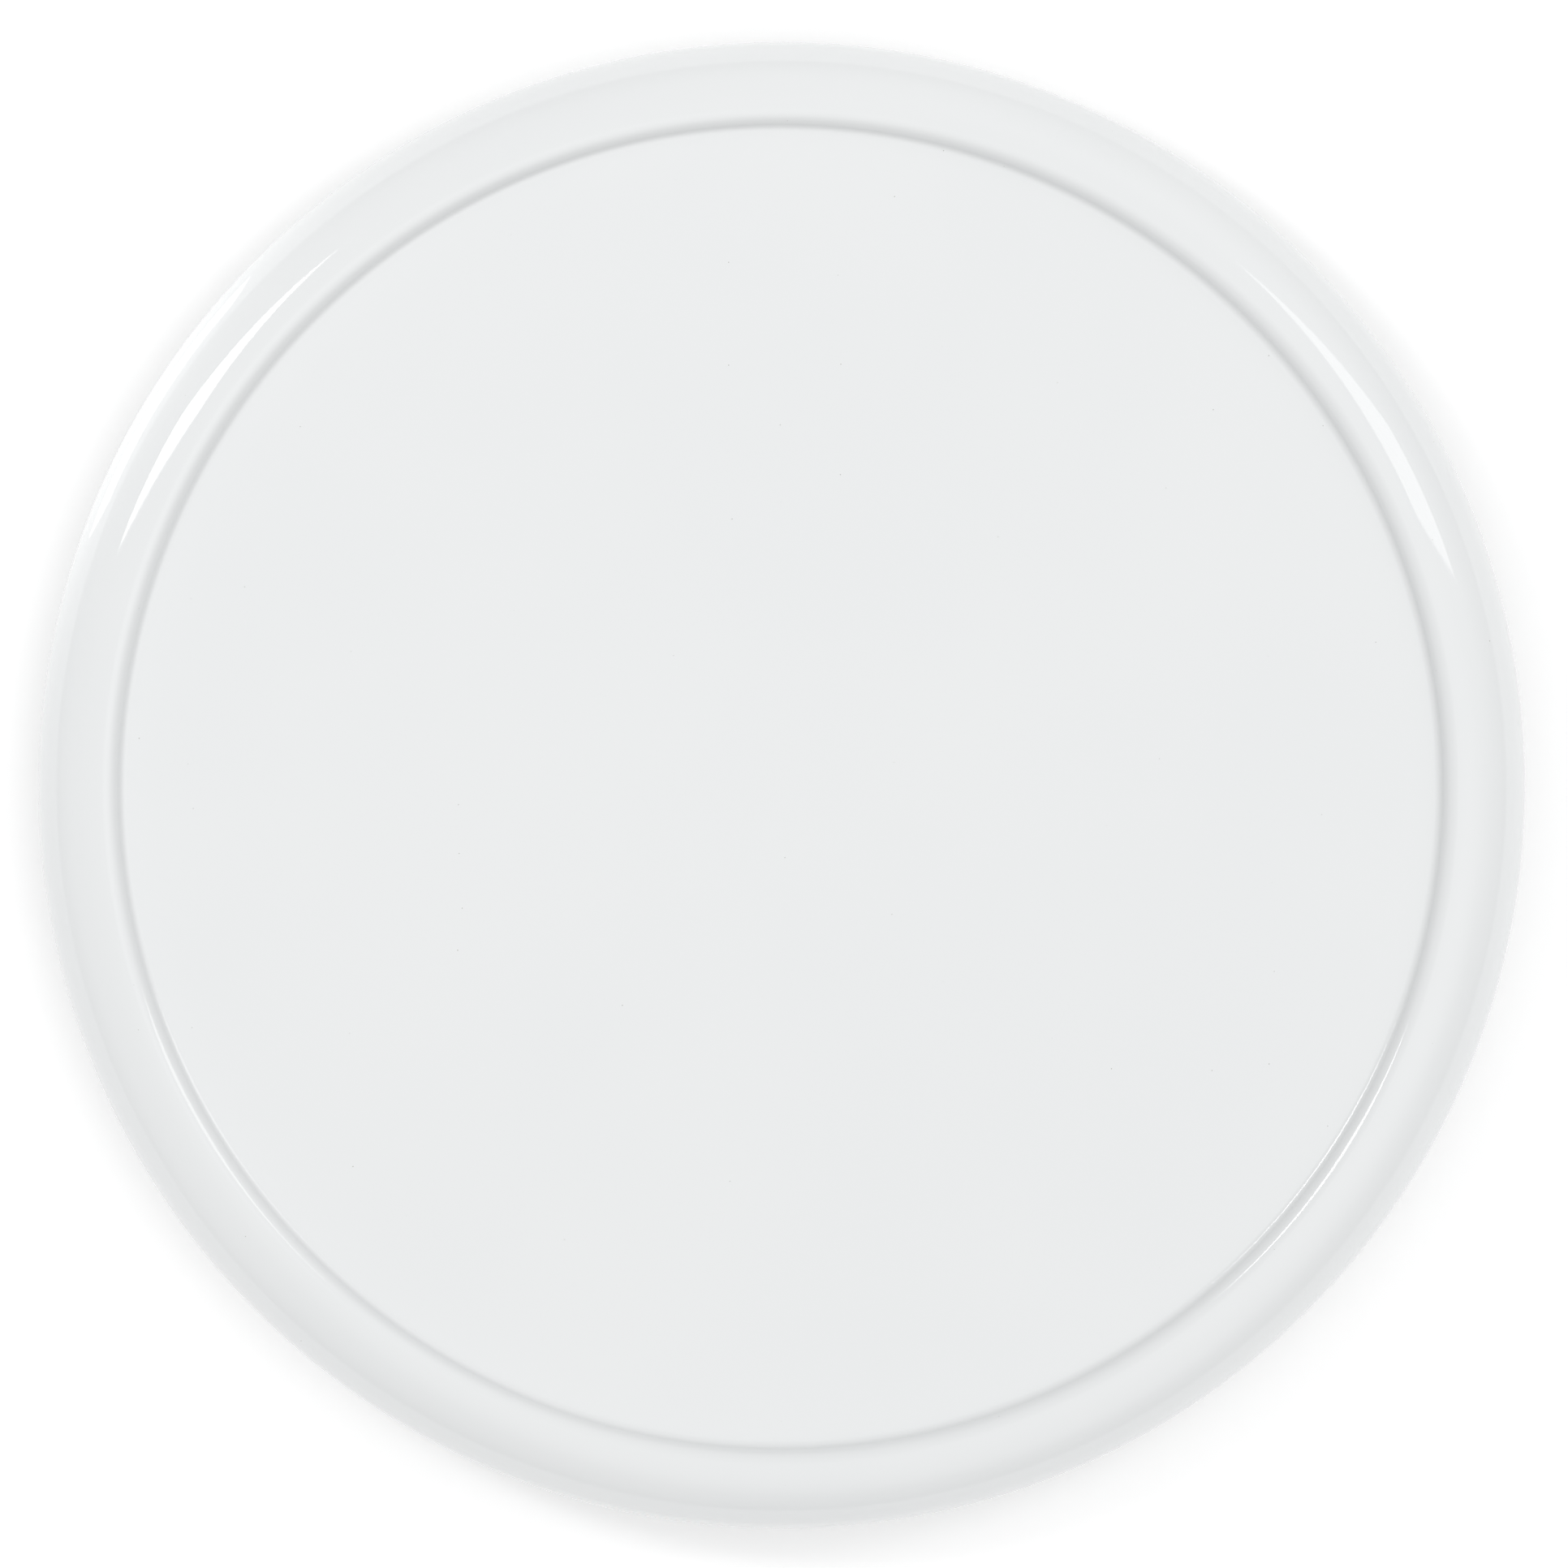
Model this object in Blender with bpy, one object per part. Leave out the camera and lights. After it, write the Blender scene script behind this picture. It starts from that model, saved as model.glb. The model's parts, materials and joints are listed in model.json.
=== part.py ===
"""A lazy susan turntable: a rolled-rim plastic tray on a caged ball bearing over a low footed base.

Every driving size is in millimetres, +Z is up, and the origin is on the table under the centre.
"""
import math

import bmesh
import bpy
from mathutils import Matrix, Vector

MM = 0.001
GAP = 0.3                # clearance between two pieces that touch
CHAMFER = 0.5            # on moulded edges
RIB_DRAFT = 0.1          # a ring rib is this much thicker than its middle at the root, on each side

# Tray: a flat deck, a step up to a lip, and a rim that rolls over to a short skirt
TRAY_R = 152.5
DECK_TOP = 26.0
DECK_T = 3.0
DECK_R = 133.3           # where the flat of the deck ends
STEP_FILLET_R = 1.65     # concave foot of the step
STEP_SLOPE = 65.0        # degrees from level
LIP_H = 3.0
LIP_CORNER_R = 3.35      # convex shoulder at the top of the step
CREST_R = 137.9          # the rim starts to roll over here
WALL_T = 2.7
SKIRT_BOTTOM = 12.8
TRAY_RIB_T = 1.6
TRAY_RIBS = 12
INNER_RIB_BOTTOM = 18.1
OUTER_RIB_BOTTOM = 19.0
RING_RIB_R = 105.0
RING_RIB_BOTTOM = 18.6

# Ball bearing between two steel tracks
BALLS = 12
BALL_R = 3.0
PITCH_R = 72.0
BALL_PLAY = 0.15         # air over and under each ball
RACE_W = 8.4
RACE_T = 1.2
GROOVE_W = 3.2
GROOVE_D = 0.6
LIP_T = 1.5              # the plastic lips on each side of a track
LIP_PROUD = 0.3          # how far the lips stand past the steel
CAGE_W = 9.0
CAGE_T = 2.9
POCKET_R = 3.3
POCKET_MOUTH_R = 2.95    # narrower than the ball, so that the ball snaps in and stays

# Base: a round plate with a skirt, a hub and six foot bosses
BASE_R = 92.0
BASE_BOTTOM = 2.0
BASE_TOP = 11.0
BASE_T = 2.5
BASE_EDGE_R = 2.0
BASE_WALL_T = 2.5
BASE_RIBS = 12
BASE_RIB_T = 1.6
BASE_RIB_BOTTOM = 4.0
BASE_RING_RIB_R = 53.0
BASE_RING_RIB_BOTTOM = 4.5
HUB_T = 3.0
HUB_TUBE_R = 15.5
HUB_TUBE_T = 2.0

# Pivot: the tray's boss turns in a bush and is held by a washer and a screw
BOSS_R = 7.0
BOSS_BOTTOM = 7.6
COLLAR_R = 11.5
COLLAR_BOTTOM = 13.6
BUSH_T = 1.35
BUSH_PLAY = 0.05         # running clearance, over the usual gap
BUSH_BOTTOM = 8.2
BUSH_FLANGE_R = 11.5
BUSH_FLANGE_T = 1.3
WASHER_R = 10.5
WASHER_T = 1.0
SCREW_R = 1.5
SCREW_TIP = 18.0
SCREW_HEAD_R = 3.6
SCREW_HEAD_T = 1.9
RECESS_SPAN = 3.8        # across the arms of the screw's cross recess
RECESS_ARM = 0.9
RECESS_DEPTH = 1.1
CAP_T = 1.2
CAP_SNAP_T = 1.2
CAP_SNAP_H = 1.6
CAP_SNAP_PLAY = 0.2      # the snap ring is set in from the disc's rim

# Rubber feet
FEET = 6
FOOT_CIRCLE_R = 80.5
FOOT_R = 8.0
FOOT_H = 3.2
FOOT_EDGE_R = 1.0
FOOT_BOSS_R = 10.0
FOOT_CEILING = 0.3       # air between a foot's top and the bottom of its socket

BIG_SIDES = 72           # sides of the large turned rings
SMALL_SIDES = 32
FOOT_SIDES = 20
BALL_SIDES = 14
POCKET_SIDES = 12


def arc(centre_r, centre_z, radius, start, end, steps):
    """Points of an arc in the radius-height plane, in degrees from outward towards up, both ends in."""
    points = []
    for i in range(steps + 1):
        angle = math.radians(start + (end - start) * i / steps)
        points.append((centre_r + radius * math.cos(angle), centre_z + radius * math.sin(angle)))
    return points


def surface(name, colour, roughness, metallic=0.0):
    """A material with one Principled BSDF."""
    material = bpy.data.materials.new(name)
    material.use_nodes = True
    shader = material.node_tree.nodes["Principled BSDF"]
    shader.inputs["Base Color"].default_value = (*colour, 1.0)
    shader.inputs["Roughness"].default_value = roughness
    shader.inputs["Metallic"].default_value = metallic
    material.diffuse_color = (*colour, 1.0)
    return material


def add_object(name, mesh, material, location=(0.0, 0.0, 0.0)):
    item = bpy.data.objects.new(name, mesh)
    item.location = Vector(location) * MM
    bpy.context.scene.collection.objects.link(item)
    if material:
        mesh.materials.append(material)
    for polygon in mesh.polygons:
        polygon.use_smooth = True
    mesh.set_sharp_from_angle(angle=math.radians(30.0))
    return item


def finish_mesh(name, work):
    bmesh.ops.recalc_face_normals(work, faces=work.faces)
    mesh = bpy.data.meshes.new(name)
    work.to_mesh(mesh)
    work.free()
    return mesh


def turned(name, profile, sides, closed):
    """Turn a profile of (radius, height) points about Z.

    A closed profile makes a ring. An open one is closed by a flat disc on its first and last points.
    """
    work = bmesh.new()
    rings = []
    for radius, height in profile:
        ring = []
        for i in range(sides):
            angle = 2.0 * math.pi * i / sides
            point = Vector((radius * math.cos(angle), radius * math.sin(angle), height)) * MM
            ring.append(work.verts.new(point))
        rings.append(ring)
    pairs = list(zip(rings, rings[1:]))
    if closed:
        pairs.append((rings[-1], rings[0]))
    for first, second in pairs:
        for i in range(sides):
            j = (i + 1) % sides
            work.faces.new((first[i], first[j], second[j], second[i]))
    if not closed:
        work.faces.new(rings[0])
        work.faces.new(rings[-1])
    return finish_mesh(name, work)


def spokes(name, outline, thickness, count):
    """Upright radial plates: one outline of (radius, height) points, repeated around Z."""
    work = bmesh.new()
    for i in range(count):
        turn = Matrix.Rotation(2.0 * math.pi * i / count, 4, "Z")
        sides = []
        for y in (-thickness / 2.0, thickness / 2.0):
            sides.append([work.verts.new(turn @ Vector((r, y, z)) * MM) for r, z in outline])
        work.faces.new(sides[0])
        work.faces.new(list(reversed(sides[1])))
        for a in range(len(outline)):
            b = (a + 1) % len(outline)
            work.faces.new((sides[0][b], sides[0][a], sides[1][a], sides[1][b]))
    return finish_mesh(name, work)


def circle_of(name, mesh, radius, count):
    """Copies of a mesh, spread evenly on a circle about Z and joined in one mesh."""
    work = bmesh.new()
    for i in range(count):
        angle = 2.0 * math.pi * i / count
        place = Matrix.Translation(Vector((math.cos(angle), math.sin(angle), 0.0)) * radius * MM)
        before = len(work.verts)
        work.from_mesh(mesh)
        work.verts.ensure_lookup_table()
        bmesh.ops.transform(work, matrix=place, verts=work.verts[before:])
    bpy.data.meshes.remove(mesh)
    return finish_mesh(name, work)


def combine(target, mesh, operation):
    """Add a Boolean modifier whose operand is a hidden cutter object."""
    cutter = add_object(mesh.name, mesh, None)
    cutter.hide_render = True
    cutter.display_type = "WIRE"
    modifier = target.modifiers.new(mesh.name, "BOOLEAN")
    modifier.solver = "EXACT"
    modifier.operation = operation
    modifier.object = cutter


def roll_centre():
    """Centre of the quarter circle that the outside of the rim follows."""
    return CREST_R, DECK_TOP + LIP_H - (TRAY_R - CREST_R)


def tray_profile():
    crest = DECK_TOP + LIP_H
    underside = DECK_TOP - DECK_T
    slope = STEP_SLOPE
    roll_r, roll_z = roll_centre()
    outer_roll = TRAY_R - CREST_R
    drop = crest - DECK_TOP
    # the step is a fillet, a straight slope and a shoulder, and these share the lip's height
    bends = (STEP_FILLET_R + LIP_CORNER_R) * (1.0 - math.cos(math.radians(slope)))
    straight = (drop - bends) / math.tan(math.radians(slope))
    shoulder_r = DECK_R + (STEP_FILLET_R + LIP_CORNER_R) * math.sin(math.radians(slope)) + straight
    under_fillet = STEP_FILLET_R + WALL_T
    edge = WALL_T / 2.0

    points = arc(DECK_R, DECK_TOP + STEP_FILLET_R, STEP_FILLET_R, -90.0, slope - 90.0, 3)
    points += arc(shoulder_r, crest - LIP_CORNER_R, LIP_CORNER_R, 90.0 + slope, 90.0, 5)
    points += arc(roll_r, roll_z, outer_roll, 90.0, 0.0, 8)
    points += arc(TRAY_R - edge, SKIRT_BOTTOM + edge, edge, 0.0, -180.0, 3)
    points += arc(roll_r, roll_z, outer_roll - WALL_T, 0.0, 90.0, 5)
    points += arc(DECK_R, underside + under_fillet, under_fillet, slope - 90.0, -90.0, 2)
    points += ring_rib(RING_RIB_R, TRAY_RIB_T, underside, RING_RIB_BOTTOM)
    points += channel(upper_race_top() + GAP, upper_race_top() - RACE_T, underside, -1)
    # the collar and the boss that turns in the bush
    points += [
        (COLLAR_R, underside), (COLLAR_R, COLLAR_BOTTOM + CHAMFER), (COLLAR_R - CHAMFER, COLLAR_BOTTOM),
        (BOSS_R, COLLAR_BOTTOM), (BOSS_R, BOSS_BOTTOM + CHAMFER), (BOSS_R - CHAMFER, BOSS_BOTTOM),
    ]
    return points


def ring_rib(radius, thickness, plate, bottom):
    """Outline of a circular rib that hangs from a plate, from outside to inside."""
    root = thickness / 2.0 + RIB_DRAFT
    tip = thickness / 2.0 - RIB_DRAFT
    return [(radius + root, plate), (radius + tip, bottom), (radius - tip, bottom), (radius - root, plate)]


def lower_race_bottom():
    return BASE_TOP + GAP


def ball_height():
    return lower_race_bottom() + RACE_T - GROOVE_D + BALL_PLAY + BALL_R


def upper_race_top():
    return 2.0 * ball_height() - lower_race_bottom()


def channel(floor, race_face, plate, side):
    """Outline of the channel that holds a steel track, from outside to inside.

    side is 1 where the channel opens upward and -1 where it opens downward.
    """
    half = CAGE_W / 2.0
    lip = race_face + side * LIP_PROUD
    return [
        (PITCH_R + half + LIP_T, plate), (PITCH_R + half + LIP_T, lip), (PITCH_R + half, lip),
        (PITCH_R + half, floor), (PITCH_R - half, floor), (PITCH_R - half, lip),
        (PITCH_R - half - LIP_T, lip), (PITCH_R - half - LIP_T, plate),
    ]


def make_tray():
    tray = add_object("tray", turned("tray", tray_profile(), BIG_SIDES, False),
                      surface("tray_gloss_white", (0.86, 0.87, 0.87), 0.16))
    underside = DECK_TOP - DECK_T
    buried = underside + 1.0
    inside = PITCH_R - CAGE_W / 2.0 - LIP_T / 2.0
    outside = PITCH_R + CAGE_W / 2.0 + LIP_T / 2.0
    inner = [(BOSS_R, INNER_RIB_BOTTOM), (inside, INNER_RIB_BOTTOM), (inside, buried), (BOSS_R, buried)]
    combine(tray, spokes("tray_inner_ribs", inner, TRAY_RIB_T, TRAY_RIBS), "UNION")
    # the outer ribs end in the middle of the rolled wall
    roll_r, roll_z = roll_centre()
    middle = TRAY_R - CREST_R - WALL_T / 2.0
    foot_angle = math.degrees(math.asin((OUTER_RIB_BOTTOM - roll_z) / middle))
    outer = [(outside, OUTER_RIB_BOTTOM)]
    outer += arc(roll_r, roll_z, middle, foot_angle, 90.0, 5)
    outer += [(DECK_R, buried), (outside, buried)]
    combine(tray, spokes("tray_outer_ribs", outer, TRAY_RIB_T, TRAY_RIBS), "UNION")
    hole = [(SCREW_R + GAP, BOSS_BOTTOM - 1.0), (SCREW_R + GAP, SCREW_TIP + GAP)]
    combine(tray, turned("tray_screw_hole", hole, SMALL_SIDES // 2, False), "DIFFERENCE")
    return tray


def make_race(name, back, side):
    """A steel track with one groove; side is 1 where the groove faces up, -1 where it faces down."""
    half = RACE_W / 2.0
    groove = GROOVE_W / 2.0
    face = back + side * RACE_T
    bottom = face - side * GROOVE_D
    outline = [
        (PITCH_R - half, back), (PITCH_R + half, back), (PITCH_R + half, face),
        (PITCH_R + groove, face), (PITCH_R + groove * 0.4, bottom),
        (PITCH_R - groove * 0.4, bottom), (PITCH_R - groove, face), (PITCH_R - half, face),
    ]
    return add_object(name, turned(name, outline, BIG_SIDES, True),
                      surface(name + "_steel", (0.56, 0.57, 0.58), 0.32, 1.0))


def make_cage():
    half = CAGE_W / 2.0
    low = ball_height() - CAGE_T / 2.0
    high = ball_height() + CAGE_T / 2.0
    outline = [(PITCH_R - half, low), (PITCH_R + half, low), (PITCH_R + half, high), (PITCH_R - half, high)]
    cage = add_object("ball_cage", turned("ball_cage", outline, BIG_SIDES, True),
                      surface("cage_natural_nylon", (0.78, 0.77, 0.72), 0.45))
    # a barrel-shaped pocket, widest at the ball's middle, that runs on past both faces of the ring
    overrun = 1.0
    narrowing = (POCKET_R - POCKET_MOUTH_R) / (CAGE_T / 2.0) * overrun
    pocket = [
        (POCKET_MOUTH_R - narrowing, low - overrun), (POCKET_R, ball_height()),
        (POCKET_MOUTH_R - narrowing, high + overrun),
    ]
    mesh = turned("pocket", pocket, POCKET_SIDES, False)
    combine(cage, circle_of("cage_pockets", mesh, PITCH_R, BALLS), "DIFFERENCE")
    return cage


def make_balls():
    steel = surface("ball_steel", (0.62, 0.63, 0.64), 0.12, 1.0)
    for i in range(BALLS):
        angle = 2.0 * math.pi * i / BALLS
        work = bmesh.new()
        bmesh.ops.create_uvsphere(work, u_segments=BALL_SIDES, v_segments=BALL_SIDES // 2 + 1,
                                  radius=BALL_R * MM)
        name = f"ball_{i + 1:02d}"
        mesh = finish_mesh(name, work)
        place = (PITCH_R * math.cos(angle), PITCH_R * math.sin(angle), ball_height())
        ball = add_object(name, mesh, steel, place)
        # the ball's poles lie on the radial line that it rolls about
        ball.rotation_euler = (0.0, math.radians(90.0), angle)


def base_profile():
    plate = BASE_TOP - BASE_T
    hub_floor = BASE_TOP - HUB_T
    bore = BOSS_R + GAP + BUSH_T + GAP
    wall_in = BASE_R - BASE_WALL_T
    points = list(reversed(channel(BASE_TOP, lower_race_bottom() + RACE_T, BASE_TOP, 1)))
    # the channel's floor is level with the plate's top
    points += arc(BASE_R - BASE_EDGE_R, BASE_TOP - BASE_EDGE_R, BASE_EDGE_R, 90.0, 0.0, 3)
    points += [(BASE_R, BASE_BOTTOM + CHAMFER), (BASE_R - CHAMFER, BASE_BOTTOM), (wall_in, BASE_BOTTOM)]
    points.append((wall_in, plate))
    points += ring_rib(BASE_RING_RIB_R, BASE_RIB_T, plate, BASE_RING_RIB_BOTTOM)
    points += [
        (HUB_TUBE_R, plate), (HUB_TUBE_R, BASE_BOTTOM), (HUB_TUBE_R - HUB_TUBE_T, BASE_BOTTOM),
        (HUB_TUBE_R - HUB_TUBE_T, hub_floor), (bore, hub_floor), (bore, BASE_TOP),
    ]
    return points


def make_base():
    base = add_object("base", turned("base", base_profile(), BIG_SIDES, True),
                      surface("base_satin_white", (0.80, 0.80, 0.79), 0.38))
    buried = BASE_TOP - BASE_T + 1.0
    tube = HUB_TUBE_R - HUB_TUBE_T / 2.0
    wall = BASE_R - BASE_WALL_T / 2.0
    rib = [(tube, BASE_RIB_BOTTOM), (wall, BASE_RIB_BOTTOM), (wall, buried), (tube, buried)]
    combine(base, spokes("base_ribs", rib, BASE_RIB_T, BASE_RIBS), "UNION")
    boss = turned("boss", [(FOOT_BOSS_R, BASE_BOTTOM), (FOOT_BOSS_R, buried)], FOOT_SIDES, False)
    combine(base, circle_of("base_foot_bosses", boss, FOOT_CIRCLE_R, FEET), "UNION")
    ceiling = FOOT_H + FOOT_CEILING
    socket = turned("socket", [(FOOT_R + GAP, 0.0), (FOOT_R + GAP, ceiling)], FOOT_SIDES, False)
    combine(base, circle_of("base_foot_sockets", socket, FOOT_CIRCLE_R, FEET), "DIFFERENCE")
    return base


def make_feet():
    rubber = surface("foot_rubber", (0.13, 0.13, 0.13), 0.72)
    outline = arc(FOOT_R - FOOT_EDGE_R, FOOT_EDGE_R, FOOT_EDGE_R, -90.0, 0.0, 3)
    outline.append((FOOT_R, FOOT_H))
    for i in range(FEET):
        angle = 2.0 * math.pi * i / FEET
        name = f"foot_{i + 1}"
        place = (FOOT_CIRCLE_R * math.cos(angle), FOOT_CIRCLE_R * math.sin(angle), 0.0)
        add_object(name, turned(name, outline, FOOT_SIDES, False), rubber, place)


def make_pivot():
    inner = BOSS_R + GAP + BUSH_PLAY
    outer = BOSS_R + GAP + BUSH_T
    flange = BASE_TOP + GAP
    bush = [
        (inner, BUSH_BOTTOM), (outer, BUSH_BOTTOM), (outer, flange), (BUSH_FLANGE_R, flange),
        (BUSH_FLANGE_R, flange + BUSH_FLANGE_T), (inner, flange + BUSH_FLANGE_T),
    ]
    add_object("pivot_bush", turned("pivot_bush", bush, SMALL_SIDES, True),
               surface("bush_acetal", (0.10, 0.10, 0.11), 0.35))

    top = BOSS_BOTTOM - GAP
    hole = SCREW_R + GAP
    washer = [(hole, top - WASHER_T), (WASHER_R, top - WASHER_T), (WASHER_R, top), (hole, top)]
    add_object("pivot_washer", turned("pivot_washer", washer, SMALL_SIDES, True),
               surface("washer_zinc", (0.60, 0.60, 0.58), 0.34, 1.0))

    seat = top - WASHER_T - GAP
    screw = [
        (SCREW_HEAD_R * 0.75, seat - SCREW_HEAD_T), (SCREW_HEAD_R * 0.95, seat - SCREW_HEAD_T + CHAMFER),
        (SCREW_HEAD_R, seat - CHAMFER), (SCREW_HEAD_R, seat), (SCREW_R, seat),
        (SCREW_R, SCREW_TIP - SCREW_R), (SCREW_R * 0.3, SCREW_TIP),
    ]
    item = add_object("pivot_screw", turned("pivot_screw", screw, SMALL_SIDES // 2, False),
                      surface("screw_zinc", (0.66, 0.66, 0.64), 0.28, 1.0))
    combine(item, cross("screw_recess", seat - SCREW_HEAD_T), "DIFFERENCE")


def cross(name, mouth):
    """An upright plus-shaped prism, centred on the recess's mouth height."""
    work = bmesh.new()
    half, arm = RECESS_SPAN / 2.0, RECESS_ARM / 2.0
    quarter = [(half, -arm), (half, arm), (arm, arm)]
    outline = []
    for i in range(4):
        turn = Matrix.Rotation(math.pi / 2.0 * i, 2)
        outline += [turn @ Vector(point) for point in quarter]
    rings = []
    for height in (mouth - RECESS_DEPTH, mouth + RECESS_DEPTH):
        rings.append([work.verts.new(Vector((p.x, p.y, height)) * MM) for p in outline])
    for i, a in enumerate(rings[0]):
        j = (i + 1) % len(outline)
        work.faces.new((a, rings[0][j], rings[1][j], rings[1][i]))
    work.faces.new(rings[0])
    work.faces.new(rings[1])
    return finish_mesh(name, work)


def make_cap():
    """A disc that snaps into the hub tube and hides the screw."""
    rim = HUB_TUBE_R - HUB_TUBE_T - GAP
    low = BASE_BOTTOM + GAP
    snap = rim - CAP_SNAP_PLAY
    outline = [
        (rim - CHAMFER, low), (rim, low + CHAMFER), (rim, low + CAP_T), (snap, low + CAP_T),
        (snap, low + CAP_T + CAP_SNAP_H), (snap - CAP_SNAP_T, low + CAP_T + CAP_SNAP_H),
        (snap - CAP_SNAP_T, low + CAP_T),
    ]
    add_object("base_cap", turned("base_cap", outline, SMALL_SIDES, False),
               surface("cap_satin_white", (0.80, 0.80, 0.79), 0.40))


def main():
    for item in list(bpy.data.objects):
        bpy.data.objects.remove(item, do_unlink=True)
    make_tray()
    make_race("upper_race", upper_race_top(), -1)
    make_balls()
    make_cage()
    make_race("lower_race", lower_race_bottom(), 1)
    make_base()
    make_feet()
    make_pivot()
    make_cap()


main()
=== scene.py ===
"""Looks for the lazy susan turntable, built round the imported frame.

Every piece is turned, swept or cut here in mesh code and stands for the CAD node in the same place, with
rounded edges, moulding details and procedural materials. Sizes are in millimetres, azimuths in degrees
from +X towards +Y.
"""

import json
import math

import bmesh
import bpy
from mathutils import Matrix, Vector


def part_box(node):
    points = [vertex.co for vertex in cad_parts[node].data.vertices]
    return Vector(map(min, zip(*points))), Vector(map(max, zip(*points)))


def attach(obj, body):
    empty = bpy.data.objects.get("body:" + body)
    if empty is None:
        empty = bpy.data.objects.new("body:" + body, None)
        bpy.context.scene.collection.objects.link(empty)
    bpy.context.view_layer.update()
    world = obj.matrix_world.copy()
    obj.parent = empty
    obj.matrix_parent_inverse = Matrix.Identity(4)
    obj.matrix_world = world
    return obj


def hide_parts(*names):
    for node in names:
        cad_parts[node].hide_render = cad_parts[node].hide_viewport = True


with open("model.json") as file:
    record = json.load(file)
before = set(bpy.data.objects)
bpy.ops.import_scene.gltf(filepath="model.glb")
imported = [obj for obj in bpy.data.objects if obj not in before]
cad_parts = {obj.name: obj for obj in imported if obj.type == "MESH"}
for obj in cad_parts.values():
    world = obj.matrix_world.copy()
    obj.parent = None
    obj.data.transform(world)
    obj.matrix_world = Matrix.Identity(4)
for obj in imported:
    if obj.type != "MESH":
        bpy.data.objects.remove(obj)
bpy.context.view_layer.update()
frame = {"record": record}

MM = 0.001


def box_mm(node):
    low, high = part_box(node)
    return low / MM, high / MM


tray_low, tray_high = box_mm("tray")
base_low, base_high = box_mm("base")
cage_low, cage_high = box_mm("ball_cage")
upper_low, upper_high = box_mm("upper_race")
lower_low, lower_high = box_mm("lower_race")
ball_low, ball_high = box_mm("ball_01")
bush_low, bush_high = box_mm("pivot_bush")
washer_low, washer_high = box_mm("pivot_washer")
screw_low, screw_high = box_mm("pivot_screw")
cap_low, cap_high = box_mm("base_cap")
foot_low, foot_high = box_mm("foot_1")

# Tray
TRAY_R = tray_high.x
CREST_Z = tray_high.z
LIP_H = 3.0
DECK_Z = CREST_Z - LIP_H
DECK_T = 3.0
UNDER_Z = DECK_Z - DECK_T
DECK_R = 133.3           # end of the flat deck
STEP_SLOPE = 65.0        # degrees from level
STEP_FILLET = 1.65
SHOULDER_FILLET = 3.35
CREST_R = 137.9          # the rim starts to roll over here
ROLL_R = TRAY_R - CREST_R
WALL_T = 2.7
SKIRT_Z = 12.8
RIB_T = 1.6
INNER_RIB_Z = 18.1
OUTER_RIB_Z = 19.0
RING_RIB_R = 105.0
RING_RIB_Z = 18.6
BOSS_R = 7.0
COLLAR_R = 11.5
COLLAR_Z = 13.6
BOSS_Z = tray_low.z
SCREW_HOLE_R = 1.8
TRAY_PIN_MARKS = ((119.0, 3.0), (90.0, 2.5))
PIN_PROUD = 0.12

# Bearing
BALLS = 12
BALL_R = 3.0
PITCH_R = (ball_low.x + ball_high.x) / 2.0
BALL_Z = (ball_low.z + ball_high.z) / 2.0
CAGE_IN = 2.0 * PITCH_R - cage_high.x
LIP_T = 1.5
LIP_PROUD = 0.3
GROOVE_D = 0.6
GROOVE_BEND = 3.3        # radius of the pressed groove, a little more than the ball's

# Base
BASE_R = base_high.x
BASE_Z = base_low.z
PLATE_TOP = 11.0
PLATE_UNDER = 8.5
BASE_WALL_T = 2.5
BASE_RIB_Z = 4.0
BASE_RING_R = 53.0
BASE_RING_Z = 4.5
HUB_BORE_R = 8.95
HUB_UNDER = 8.0
TUBE_R = 15.5
TUBE_T = 2.0
BASE_PIN_MARKS = ((34.0, 2.5), (72.0, 3.0))
BASE_WHITE = (0.76, 0.76, 0.745)

# Feet
FEET = 6
FOOT_CIRCLE_R = (foot_low.x + foot_high.x) / 2.0
FOOT_R = (foot_high.x - foot_low.x) / 2.0
FOOT_BOSS_R = 10.0
GAP = 0.3

RIBS = 12                # in the tray and in the base
SIDES = 240              # sides of the large turned pieces
SMALL_SIDES = 96
BEND_STEPS = 5


# ---------------------------------------------------------------- outlines and meshes

def rounded(corners, closed=False):
    """Outline through corners of (radius, height, bend radius[, steps]), each corner turned to an arc."""
    points = []
    for i, corner in enumerate(corners):
        here = Vector(corner[:2])
        bend = corner[2]
        steps = corner[3] if len(corner) > 3 else BEND_STEPS
        at_end = not closed and i in (0, len(corners) - 1)
        if bend == 0.0 or at_end:
            points.append(here)
            continue
        back = (Vector(corners[i - 1][:2]) - here).normalized()
        ahead = (Vector(corners[(i + 1) % len(corners)][:2]) - here).normalized()
        half = back.angle(ahead) / 2.0
        centre = here + (back + ahead).normalized() * bend / math.sin(half)
        first = here + back * bend / math.tan(half) - centre
        last = here + ahead * bend / math.tan(half) - centre
        sweep = first.angle_signed(last)
        for k in range(steps + 1):
            points.append(centre + Matrix.Rotation(-sweep * k / steps, 2) @ first)
    return [(point.x, point.y) for point in points]


def add_turned(work, outline, sides, closed, place=None):
    """Turn an outline of (radius, height) about Z, as a ring, or with flat discs on its two ends."""
    rings = []
    for radius, height in outline:
        ring = []
        for i in range(sides):
            angle = 2.0 * math.pi * i / sides
            point = Vector((radius * math.cos(angle), radius * math.sin(angle), height)) * MM
            ring.append(work.verts.new(place @ point if place else point))
        rings.append(ring)
    pairs = list(zip(rings, rings[1:]))
    if closed:
        pairs.append((rings[-1], rings[0]))
    for first, second in pairs:
        for i in range(sides):
            j = (i + 1) % sides
            work.faces.new((first[i], first[j], second[j], second[i]))
    if not closed:
        work.faces.new(rings[0])
        work.faces.new(rings[-1])


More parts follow.
